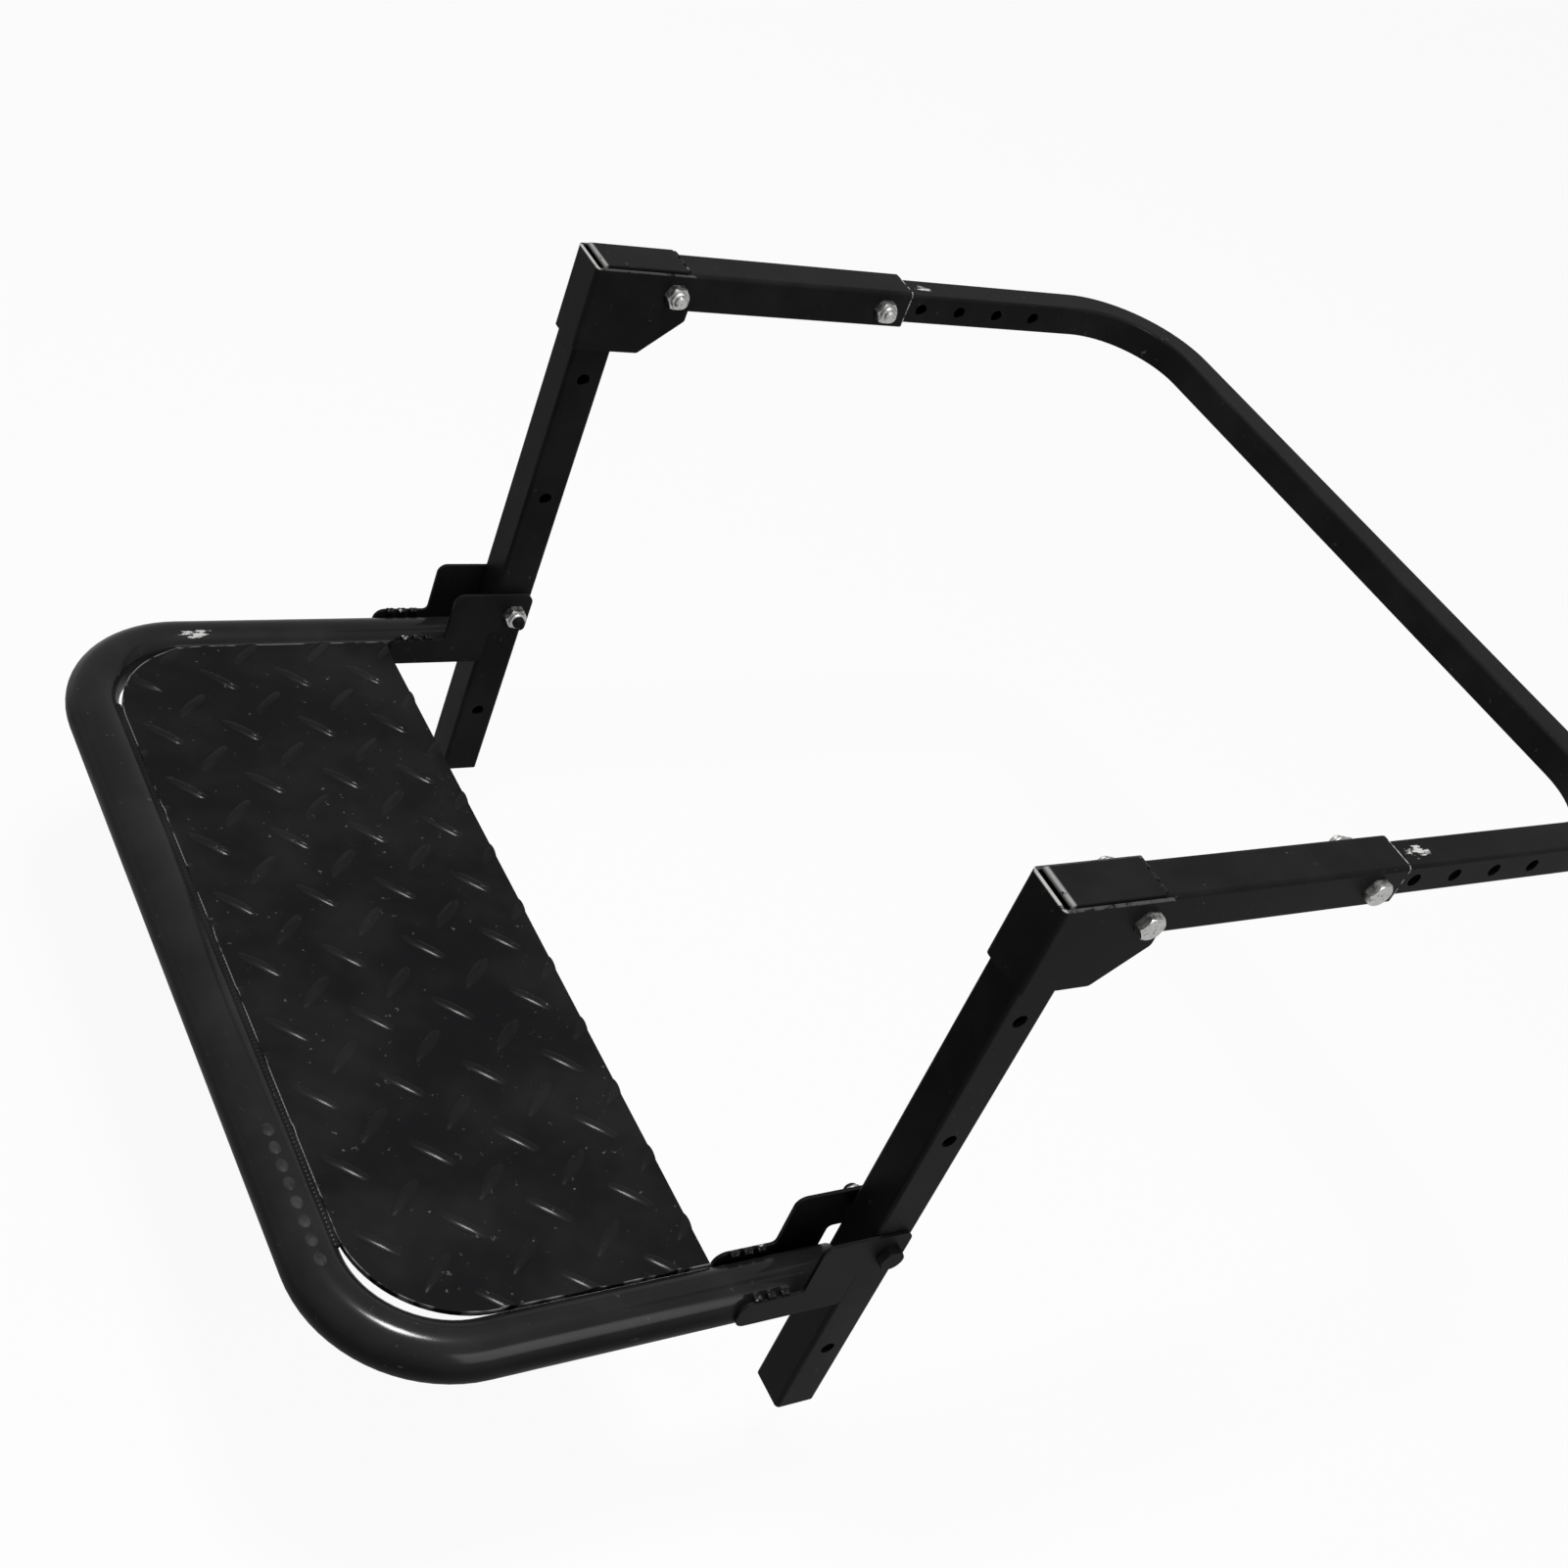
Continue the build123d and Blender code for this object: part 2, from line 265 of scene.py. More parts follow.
# The zinc's tarnish, grime and grain
TARNISH_ROUGHNESS = (-0.08, 0.1)
GRIME_COLOUR = (0.10, 0.10, 0.095, 1.0)
GRIME_SHARE = 0.7
GRIME_ROUGHNESS = 0.25
PLATING_GRAIN = 0.04 * MM


# Shader node helpers


def put(tree, kind, **values):
    """Add a node and set its properties."""
    node = tree.nodes.new(kind)
    for name, value in values.items():
        setattr(node, name, value)
    return node


def feed(tree, node, socket, value):
    """Link a socket to an output, or set its value."""
    target = node.inputs[socket]
    if isinstance(value, bpy.types.NodeSocket):
        tree.links.new(value, target)
    else:
        target.default_value = value


def maths(tree, operation, a, b=0.0):
    """Add a Math node and return its output."""
    node = put(tree, "ShaderNodeMath", operation=operation)
    feed(tree, node, 0, a)
    feed(tree, node, 1, b)
    return node.outputs[0]


def vector_maths(tree, operation, a, b):
    """Add a Vector Math node and return its vector output."""
    node = put(tree, "ShaderNodeVectorMath", operation=operation)
    feed(tree, node, 0, a)
    feed(tree, node, 1, b)
    return node.outputs[0]


def noise(tree, vector, scale, detail, rough):
    """Add a Noise Texture and return its value."""
    node = put(tree, "ShaderNodeTexNoise")
    feed(tree, node, "Vector", vector)
    feed(tree, node, "Scale", scale)
    feed(tree, node, "Detail", detail)
    feed(tree, node, "Roughness", rough)
    return node.outputs["Fac"]


def ramp(tree, value, low, high, to_low=0.0, to_high=1.0):
    """Map a value from low..high to to_low..to_high, smoothly and clamped."""
    node = put(tree, "ShaderNodeMapRange", interpolation_type="SMOOTHSTEP", clamp=True)
    feed(tree, node, "Value", value)
    feed(tree, node, "From Min", low)
    feed(tree, node, "From Max", high)
    feed(tree, node, "To Min", to_low)
    feed(tree, node, "To Max", to_high)
    return node.outputs["Result"]


def blend_colour(tree, factor, a, b):
    """Mix two colours and return the result. The node's sockets share their names, so they go by place."""
    node = put(tree, "ShaderNodeMix", data_type="RGBA")
    feed(tree, node, 0, factor)
    feed(tree, node, 6, a)
    feed(tree, node, 7, b)
    return node.outputs[2]


def seen_directly(tree):
    """1 for what the camera sees, also by reflection and through glass, and 0 for scattered light."""
    path = put(tree, "ShaderNodeLightPath")
    mirrored = maths(tree, "MAXIMUM", path.outputs["Is Glossy Ray"], path.outputs["Is Transmission Ray"])
    return maths(tree, "MAXIMUM", path.outputs["Is Camera Ray"], mirrored)


def new_group(name, inputs, outputs):
    """Start a shader node group with named sockets, and return the tree with its two ends."""
    tree = bpy.data.node_groups.new(name, "ShaderNodeTree")
    for label, kind in inputs:
        tree.interface.new_socket(label, in_out="INPUT", socket_type=kind)
    for label, kind in outputs:
        tree.interface.new_socket(label, in_out="OUTPUT", socket_type=kind)
    return tree, tree.nodes.new("NodeGroupInput").outputs, tree.nodes.new("NodeGroupOutput")


def powder_coat_group():
    """Cloudy gloss, orange peel and dust of a powder coat."""
    tree, given, result = new_group(
        "Powder coat",
        [("Vector", "NodeSocketVector"), ("Colour", "NodeSocketColor"), ("Roughness", "NodeSocketFloat"),
         ("Dust", "NodeSocketFloat")],
        [("Colour", "NodeSocketColor"), ("Roughness", "NodeSocketFloat"), ("Height", "NodeSocketFloat")],
    )
    cloud = noise(tree, given["Vector"], *CLOUD_NOISE)
    peel = noise(tree, given["Vector"], *PEEL_NOISE)
    grit = noise(tree, given["Vector"], *GRIT_NOISE)
    specks = maths(tree, "MULTIPLY", ramp(tree, grit, *DUST_FADE), given["Dust"])
    cloudy = ramp(tree, cloud, *CLOUD_FADE, 0.0, CLOUD_SHARE)
    tinted = blend_colour(tree, cloudy, given["Colour"], CLOUD_COLOUR)
    dusty = blend_colour(tree, specks, tinted, DUST_COLOUR)
    patchy = maths(tree, "ADD", given["Roughness"], ramp(tree, cloud, *MIDDLE_FADE, *CLOUD_ROUGHNESS))
    rough = maths(tree, "ADD", patchy, maths(tree, "MULTIPLY", specks, DUST_ROUGHNESS))
    tree.links.new(dusty, result.inputs["Colour"])
    tree.links.new(rough, result.inputs["Roughness"])
    tree.links.new(peel, result.inputs["Height"])
    return tree


def scuff_group():
    """An oval patch of broken scratches, barest in its middle."""
    tree, given, result = new_group(
        "Scuff patch",
        [("Vector", "NodeSocketVector"), ("Centre", "NodeSocketVector"), ("Half size", "NodeSocketVector"),
         ("Stretch", "NodeSocketVector"), ("Bare share", "NodeSocketFloat")],
        [("Mask", "NodeSocketFloat")],
    )
    away = vector_maths(tree, "SUBTRACT", given["Vector"], given["Centre"])
    far = put(tree, "ShaderNodeVectorMath", operation="LENGTH")
    feed(tree, far, 0, vector_maths(tree, "DIVIDE", away, given["Half size"]))
    inside = ramp(tree, far.outputs["Value"], *OVAL_FADE)
    streaks = noise(tree, vector_maths(tree, "MULTIPLY", given["Vector"], given["Stretch"]), *SCRATCH_NOISE)
    limit = maths(tree, "SUBTRACT", 1.0, maths(tree, "MULTIPLY", inside, given["Bare share"]))
    bare = ramp(tree, maths(tree, "SUBTRACT", streaks, limit), *SCRATCH_FADE)
    tree.links.new(bare, result.inputs["Mask"])
    return tree


def edge_group():
    """A line along an edge, for worn paint and for painted edge highlights: one coordinate near a value,
    broken up by noise.
    """
    tree, given, result = new_group(
        "Edge wear and highlight",
        [("Vector", "NodeSocketVector"), ("Coordinate", "NodeSocketFloat"), ("Edge", "NodeSocketFloat"),
         ("Width", "NodeSocketFloat"), ("Breaks", "NodeSocketFloat"), ("Grain", "NodeSocketFloat")],
        [("Mask", "NodeSocketFloat")],
    )
    gap = maths(tree, "ABSOLUTE", maths(tree, "SUBTRACT", given["Coordinate"], given["Edge"]))
    near = ramp(tree, maths(tree, "DIVIDE", gap, given["Width"]), *LINE_FADE)
    chips = noise(tree, given["Vector"], given["Grain"], *CHIP_DETAIL)
    bare = ramp(tree, maths(tree, "SUBTRACT", chips, given["Breaks"]), *CHIP_FADE)
    tree.links.new(maths(tree, "MULTIPLY", near, bare), result.inputs["Mask"])
    return tree


def groups():
    """The shared effects, built once."""
    makers = {"Powder coat": powder_coat_group, "Scuff patch": scuff_group, "Edge wear and highlight": edge_group}
    return {name: bpy.data.node_groups.get(name) or make() for name, make in makers.items()}


class Finish:
    """A material under construction: a Principled BSDF fed by the shared effects, on Object coordinates."""

    def __init__(self, name):
        self.material = bpy.data.materials.new(name)
        self.material.use_nodes = True
        self.tree = self.material.node_tree
        self.shader = self.tree.nodes["Principled BSDF"]
        self.coords = put(self.tree, "ShaderNodeTexCoord")
        self.place = self.coords.outputs["Object"]
        split = put(self.tree, "ShaderNodeSeparateXYZ")
        feed(self.tree, split, 0, self.place)
        self.x, self.y, self.z = split.outputs

    def effect(self, name, **values):
        """Place a shared effect, with underscores for the spaces in its sockets' names."""
        node = put(self.tree, "ShaderNodeGroup", node_tree=groups()[name])
        for label, value in values.items():
            feed(self.tree, node, label.replace("_", " "), value)
        return node.outputs

    def edge_wear_and_highlight(self, coordinate, edge, width, breaks, grain):
        """The mask of a line of worn paint and painted highlight where a coordinate is near an edge."""
        return self.effect(
            "Edge wear and highlight", Vector=self.place, Coordinate=coordinate, Edge=edge, Width=width, Breaks=breaks,
            Grain=grain,
        )["Mask"]

    def scuff(self, centre, half_size, stretch, bare_share):
        """The mask of a scuff patch."""
        return self.effect(
            "Scuff patch", Vector=self.place, Centre=centre, Half_size=half_size, Stretch=stretch,
            Bare_share=bare_share,
        )["Mask"]

    def bump(self, height):
        """Feed a height in metres to the shader's normal."""
        node = put(self.tree, "ShaderNodeBump")
        feed(self.tree, node, "Distance", 1.0)
        feed(self.tree, node, "Height", height)
        feed(self.tree, self.shader, "Normal", node.outputs[0])


def powder_coat(name, paint, wear_and_highlight=None, dust=FRAME_DUST, gloss=None):
    """Black powder coat. The wear mask and the gloss take the finish and return a mask and a coat weight; the
    mask blends in the bare colour, for worn paint and for painted highlights and sheen.
    """
    finish = Finish(name)
    tree, shader = finish.tree, finish.shader
    coat = finish.effect(
        "Powder coat", Vector=finish.place, Colour=(*paint.colour, 1.0), Roughness=paint.roughness, Dust=dust,
    )
    colour, rough = coat["Colour"], coat["Roughness"]
    if wear_and_highlight:
        mask = wear_and_highlight(finish)
        # Bare colour for worn paint, and for painted highlights and sheen where the mask follows lit edges,
        # welds or ripples
        colour = blend_colour(tree, mask, colour, (*paint.bare_and_highlight_colour, 1.0))
        rough = maths(tree, "SUBTRACT", rough, maths(tree, "MULTIPLY", mask, BARE_POLISH))
    feed(tree, shader, "Base Color", colour)
    feed(tree, shader, "Roughness", rough)
    shader.inputs["Specular IOR Level"].default_value = SPECULAR_LEVEL
    shader.inputs["Coat Roughness"].default_value = COAT_ROUGHNESS
    if gloss:
        feed(tree, shader, "Coat Weight", gloss(finish))
    finish.bump(maths(tree, "MULTIPLY", coat["Height"], paint.peel))
    return finish.material


def upward_gloss(weight):
    """A coat weight that is full on faces that look up and none on upright ones."""
    def mask(finish):
        split = put(finish.tree, "ShaderNodeSeparateXYZ")
        feed(finish.tree, split, 0, finish.coords.outputs["Normal"])
        return ramp(finish.tree, split.outputs[2], *UPWARD_FADE, 0.0, weight)
    return mask


def dress(node, material):
    """Give a CAD node's object one material."""
    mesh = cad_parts[node].data
    mesh.materials.clear()
    mesh.materials.append(material)


def dress_both(node, material):
    """Give a CAD node's objects on both sides one material."""
    for side in SIDES:
        dress(f"{side}_{node}", material)


# Mesh helpers


def finish_piece(name, bm, material, body):
    """Turn a bmesh into a piece that rides on a body."""
    bmesh.ops.recalc_face_normals(bm, faces=bm.faces[:])
    mesh = bpy.data.meshes.new(name)
    bm.to_mesh(mesh)
    bm.free()
    mesh.polygons.foreach_set("use_smooth", [True] * len(mesh.polygons))
    mesh.materials.append(material)
    piece = bpy.data.objects.new(name, mesh)
    bpy.context.scene.collection.objects.link(piece)
    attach(piece, body)


def draw_out(bm, face, keep):
    """Extrude a face, and return the new face and its corners. The old face goes unless it closes an end."""
    grown = bmesh.ops.extrude_face_region(bm, geom=[face])["geom"]
    corners = [item for item in grown if isinstance(item, bmesh.types.BMVert)]
    drawn = next(item for item in grown if isinstance(item, bmesh.types.BMFace))
    if not keep:
        bmesh.ops.delete(bm, geom=[face], context="FACES_ONLY")
    return drawn, corners


# Turn in degrees, columns and rows of the lugs' two nested grids, and where their middle lies on the plate
LUG_GRIDS = ((-45, 4, 11), (45, 5, 12))
LUG_SHIFT = (-3.1 * MM, -13.5 * MM)
LUG_SINK = 0.05 * MM
# Distance of the cut lugs' ends from the plate's edges
LUG_INSET = 0.02 * MM
# Heights of a dome's rings and the sizes of its outline there, as shares
DOME_RINGS = ((0.0, 1.0), (0.30, 0.87), (0.62, 0.64), (0.88, 0.35))
# Feet and cut ends of the domes look up less than this
DOME_SIDE = 0.05


def on_plate(place, reach):
    """True where a lug lies on the plate and clear of its two rounded corners."""
    if not (TREAD[0][0] - reach < place.x < TREAD[1][0] + reach and abs(place.y) < TREAD[1][1] + reach):
        return False
    out = min(place.x - TREAD[0][0] - PLATE_CORNER, 0.0)
    aside = max(abs(place.y) - TREAD[1][1] + PLATE_CORNER, 0.0)
    return out == 0.0 or aside == 0.0 or sqrt(out * out + aside * aside) < PLATE_CORNER - reach


def lug_dome(bm, place, turn, lugs):
    """One lug: an oval foot sunk in the plate, drawn up through smaller ovals to a top."""
    base = Matrix.Translation(place) @ Matrix.Rotation(turn, 4, "Z")
    foot = bmesh.ops.create_circle(
        bm, cap_ends=True, segments=lugs.segments, radius=0.5,
        matrix=base @ Matrix.Diagonal((lugs.length, lugs.width, 1.0, 1.0)),
    )
    face = foot["verts"][0].link_faces[0]
    last_rise, last_size = DOME_RINGS[0]
    for rise, size in DOME_RINGS[1:]:
        face, corners = draw_out(bm, face, keep=last_rise == 0.0)
        bmesh.ops.translate(bm, verts=corners, vec=(0.0, 0.0, (rise - last_rise) * lugs.height))
        shrink = size / last_size
        bmesh.ops.scale(bm, verts=corners, vec=(shrink, shrink, 1.0), space=Matrix.Translation(-place))
        last_rise, last_size = rise, size
    top = bmesh.ops.poke(bm, faces=[face])["verts"]
    bmesh.ops.translate(bm, verts=top, vec=(0.0, 0.0, (1.0 - last_rise) * lugs.height))


# Sizes of a bead's section along one scale, from its overlapped start to its crest
SCALE_SHAPE = ((0.0, 0.80), (0.3, 1.0), (0.65, 0.97), (0.9, 0.86))
END_SHAPE = 0.45


def weld_run(bm, start, end, rise, weld, share=1.0):
    """Draw one weld bead: a ring of its section, extruded along the run in overlapping scales."""
    start, end, rise = Vector(start), Vector(end), Vector(rise).normalized()
    run = end - start
    along = run.normalized()
    turn = Matrix((along.cross(rise), rise, along)).transposed().to_4x4()
    count = max(1, round(run.length / weld.pitch))
    rings = [(0.0, END_SHAPE)]
    for scale in range(count):
        rings += [((scale + part) / count, size) for part, size in SCALE_SHAPE]
    rings.append((1.0, END_SHAPE))
    section = Matrix.Diagonal((weld.width * share, weld.height * share, 1.0, 1.0))
    disc = bmesh.ops.create_circle(
        bm, cap_ends=True, segments=weld.segments, radius=0.5 * END_SHAPE,
        matrix=Matrix.Translation(start) @ turn @ section,
    )
    face = disc["verts"][0].link_faces[0]
    last_part, last_size = rings[0]
    for index, (part, size) in enumerate(rings[1:]):
        face, corners = draw_out(bm, face, keep=index == 0)
        bmesh.ops.translate(bm, verts=corners, vec=run * (part - last_part))
        centre = start + run * part
        bmesh.ops.scale(bm, verts=corners, vec=(size / last_size,) * 3, space=Matrix.Translation(-centre))
        last_part, last_size = part, size


# Short beads along the ears, from their outboard ends to their necks
STITCH = 5.2 * MM
STITCH_PITCH = 8 * MM
STITCH_START = OUTER_EAR[0][0] + 7 * MM
STITCH_END = OUTER_EAR[1][0] - EAR_NECK
STITCH_INSET = 1.0 * MM
STITCH_Z = FRAME[1][2] - 1.2 * MM

# Beads on the sleeves at the top plates' inboard edges, as shares of half the plate's width
TOP_RUNS = ((-0.85, -0.45), (-0.2, 0.2), (0.45, 0.85))
TOP_RUN_X = TOP_PLATE[1][0] + 0.8 * MM
TOP_RUN_Z = SLEEVE[1][2] + 0.6 * MM

# Thin beads on the legs at the brackets' lower edges
COLLAR_Z = BRACKET[0][2] - 0.3 * MM
COLLAR_INSET = 3 * MM
COLLAR_REACH = 9 * MM
COLLAR_SHARE = 0.5

# The weld between the tread plate's edge and the outer bar, and the bright line on its outer side, painted in
# bare colour as bare metal and as the bead's highlight
SEAM_X = TREAD[0][0] - 3.2 * MM
SEAM_Z = PLATE_TOP - 0.4 * MM
SEAM_Y = TUBE_Y - BEND_RADIUS
SEAM_RISE = (-0.55, 0, 0.83)
SEAM_SHARE = 1.6
SEAM_LINE_X = SEAM_X - 2.4 * MM

# The ripples that the bending left on the inner side of the tube
RIPPLE_COUNT = 8
RIPPLE_START = 124 * MM
RIPPLE_PITCH = 11.2 * MM
RIPPLE_TILT = radians(-4)
RIPPLE_HALF = (3.2 * MM, 5.0 * MM, 1.3 * MM)
RIPPLE_SINK = 0.8 * MM
RIPPLE_SEGMENTS = 16
RIPPLE_RINGS = 10


def ripple_place(y):
    """The matrix that turns a unit ball into one ripple on the upper side of the outer bar or its bend."""
    swing = 0.0
    centre = Vector((OUTER_BAR_X, y, TUBE_Z))
    past = -y - (TUBE_Y - BEND_RADIUS)
    if past > 0.0:
        swing = past / BEND_RADIUS
        centre.x = OUTER_BAR_X + BEND_RADIUS * (1.0 - cos(swing))
        centre.y = -(TUBE_Y - BEND_RADIUS) - BEND_RADIUS * sin(swing)
    stand = Matrix.Translation((0.0, 0.0, TUBE_RADIUS - RIPPLE_SINK)) @ Matrix.Diagonal((*RIPPLE_HALF, 1.0))
    tilt = Matrix.Rotation(RIPPLE_TILT, 4, "Y")
    return Matrix.Translation(centre) @ Matrix.Rotation(swing, 4, "Z") @ tilt @ stand


# Operators


class TIRESTEP_OT_paint_frame(bpy.types.Operator):
    """Coat the tubes, brackets, plates, ears and the step's pivot bolts"""

    bl_idname = "tirestep.paint_frame"
    bl_label = "Coat the frame"

    def execute(self, context):
        paint = context.scene.tire_step_paint
        satin = upward_gloss(FRAME_GLOSS)

        def bracket_wear_and_highlight(finish):
            # Bare colour on the bracket's top edges, strongest on the web: worn paint and a painted highlight
            # of the lit edge
            rim = finish.edge_wear_and_highlight(finish.z, BRACKET[1][2], *BRACKET_EDGE_WEAR_AND_HIGHLIGHT)
            on_web = ramp(finish.tree, finish.x, *WEB_FADE, *BRACKET_BARE_AND_HIGHLIGHT)
            return maths(finish.tree, "MULTIPLY", rim, on_web)

        def top_plate_wear_and_highlight(finish):
            # A wide bare band on the top plate's outboard end: worn paint and a painted highlight of the lit
            # end bevel
            band = finish.edge_wear_and_highlight(finish.x, TOP_PLATE[0][0], *TOP_PLATE_WEAR_AND_HIGHLIGHT)
            return maths(finish.tree, "MULTIPLY", band, TOP_PLATE_BARE_AND_HIGHLIGHT)

        def sleeve_wear_and_highlight(finish):
            # Bare line on the sleeve's inboard end: worn paint and a painted highlight of its lip
            return finish.edge_wear_and_highlight(finish.x, SLEEVE[1][0], *SLEEVE_WEAR_AND_HIGHLIGHT)

        def bar_scuffs(finish):
            patches = [
                finish.scuff((BAR_SCUFF_X, SIDES[side] * LEG_Y, HOOK[1][2]), *BAR_SCUFF, share)
                for side, share in BAR_SCUFF_SHARES.items()
            ]
            return maths(finish.tree, "MAXIMUM", *patches)

        def tube_scuffs(finish):
            return finish.scuff(TUBE_SCUFF_CENTRE, *TUBE_SCUFF, TUBE_SCUFF_SHARE)

        plain = powder_coat("black_powder_coat", paint, gloss=satin)
        for node in ("leg", "outer_ear", "inner_ear"):
            dress_both(node, plain)
        dress("step_pivot_bolts", plain)
        dress_both("corner_bracket", powder_coat("bracket_powder_coat", paint, bracket_wear_and_highlight, gloss=satin))
        dress_both("top_plate", powder_coat("top_plate_powder_coat", paint, top_plate_wear_and_highlight, gloss=satin))
        dress_both("sleeve", powder_coat("sleeve_powder_coat", paint, sleeve_wear_and_highlight, gloss=satin))
        dress("hook_bar", powder_coat("hook_bar_powder_coat", paint, bar_scuffs, gloss=satin))
        tube = powder_coat("step_tube_powder_coat", paint, tube_scuffs, gloss=upward_gloss(TUBE_GLOSS))
        dress("step_frame", tube)
        return {"FINISHED"}


class TIRESTEP_OT_paint_tread(bpy.types.Operator):
    """Coat the tread plate, with the lugs rubbed smooth"""

    bl_idname = "tirestep.paint_tread"
    bl_label = "Coat the tread plate"

    def execute(self, context):
        paint = context.scene.tire_step_paint

        def sheen(finish):
            low, high = LUG_GLOSS_RISE
            return ramp(finish.tree, finish.z, PLATE_TOP + low, PLATE_TOP + high, 0.0, LUG_GLOSS)

        def rim(finish):
            """The plate's outline, which keeps one distance from the line between its corners' centres."""
            tree = finish.tree
            out = maths(tree, "MINIMUM", maths(tree, "SUBTRACT", finish.x, TREAD[0][0] + PLATE_CORNER), 0.0)
            aside = maths(tree, "SUBTRACT", maths(tree, "ABSOLUTE", finish.y), TREAD[1][1] - PLATE_CORNER)
            aside = maths(tree, "MAXIMUM", aside, 0.0)
            out = maths(tree, "MULTIPLY", out, out)
            aside = maths(tree, "MULTIPLY", aside, aside)
            way = maths(tree, "SQRT", maths(tree, "ADD", out, aside))
            # Bare colour along the plate's outline: a painted highlight of its edge, with worn paint
            line = finish.edge_wear_and_highlight(way, PLATE_CORNER, *TREAD_EDGE_WEAR_AND_HIGHLIGHT)
            return maths(tree, "MULTIPLY", line, TREAD_BARE_AND_HIGHLIGHT)

        coated = powder_coat("tread_powder_coat", paint, rim, TREAD_DUST, sheen)
        dress("tread_plate", coated)
        self.raise_lugs(context.scene.tire_step_lugs, coated)
        return {"FINISHED"}

    def raise_lugs(self, lugs, material):
        """Round off the lugs of the CAD plate with domes, which end at the plate's edges as those do."""
        bm = bmesh.new()
        middle = Vector(((TREAD[0][0] + TREAD[1][0]) / 2 + LUG_SHIFT[0], LUG_SHIFT[1], PLATE_TOP - LUG_SINK))
        for turn, columns, rows in LUG_GRIDS:
            for column in range(columns):
                for row in range(rows):
                    step = Vector((column - (columns - 1) / 2, row - (rows - 1) / 2, 0.0)) * lugs.pitch
                    if on_plate(middle + step, lugs.length / 2):
                        lug_dome(bm, middle + step, radians(turn), lugs)
        for point, way in (
            ((TREAD[0][0] + LUG_INSET, 0, 0), (-1, 0, 0)),
            ((TREAD[1][0] - LUG_INSET, 0, 0), (1, 0, 0)),
            ((0, TREAD[0][1] + LUG_INSET, 0), (0, -1, 0)),
            ((0, TREAD[1][1] - LUG_INSET, 0), (0, 1, 0)),
        ):
            everything = bm.verts[:] + bm.edges[:] + bm.faces[:]
            cut = bmesh.ops.bisect_plane(
                bm, geom=everything, plane_co=point, plane_no=way, clear_outer=True,
            )["geom_cut"]
            bmesh.ops.holes_fill(bm, edges=[item for item in cut if isinstance(item, bmesh.types.BMEdge)])
        bmesh.ops.recalc_face_normals(bm, faces=bm.faces[:])
        for face in bm.faces:
            if face.normal.z < DOME_SIDE:
                for edge in face.edges:
                    edge.smooth = False
        finish_piece("tread_lug_domes", bm, material, "step")


class TIRESTEP_OT_plate_fasteners(bpy.types.Operator):
    """Zinc-plate the nuts and bolts"""

    bl_idname = "tirestep.plate_fasteners"
    bl_label = "Zinc-plate the fasteners"

    def execute(self, context):
        zinc = context.scene.tire_step_zinc
        finish = Finish("bright_zinc")
        tree, shader = finish.tree, finish.shader
        tarnish = noise(tree, finish.place, *TARNISH_NOISE)
        grime = ramp(tree, noise(tree, finish.place, *GRIME_NOISE), *GRIME_FADE)
        dirt = maths(tree, "MULTIPLY", grime, GRIME_SHARE)
        feed(tree, shader, "Base Color", blend_colour(tree, dirt, (*zinc.colour, 1.0), GRIME_COLOUR))
        spread = [zinc.roughness + change for change in TARNISH_ROUGHNESS]
        clean = ramp(tree, tarnish, *MIDDLE_FADE, *spread)
        rough = maths(tree, "ADD", clean, maths(tree, "MULTIPLY", grime, GRIME_ROUGHNESS))
        feed(tree, shader, "Roughness", rough)
        shader.inputs["Metallic"].default_value = 1.0
        finish.bump(maths(tree, "MULTIPLY", noise(tree, finish.place, *PLATING_NOISE), PLATING_GRAIN))
        for node in ("arm_pivot_bolts", "arm_pivot_nuts", "step_pivot_nuts", "lock_bolts", "lock_nuts"):
            dress(node, finish.material)
        return {"FINISHED"}


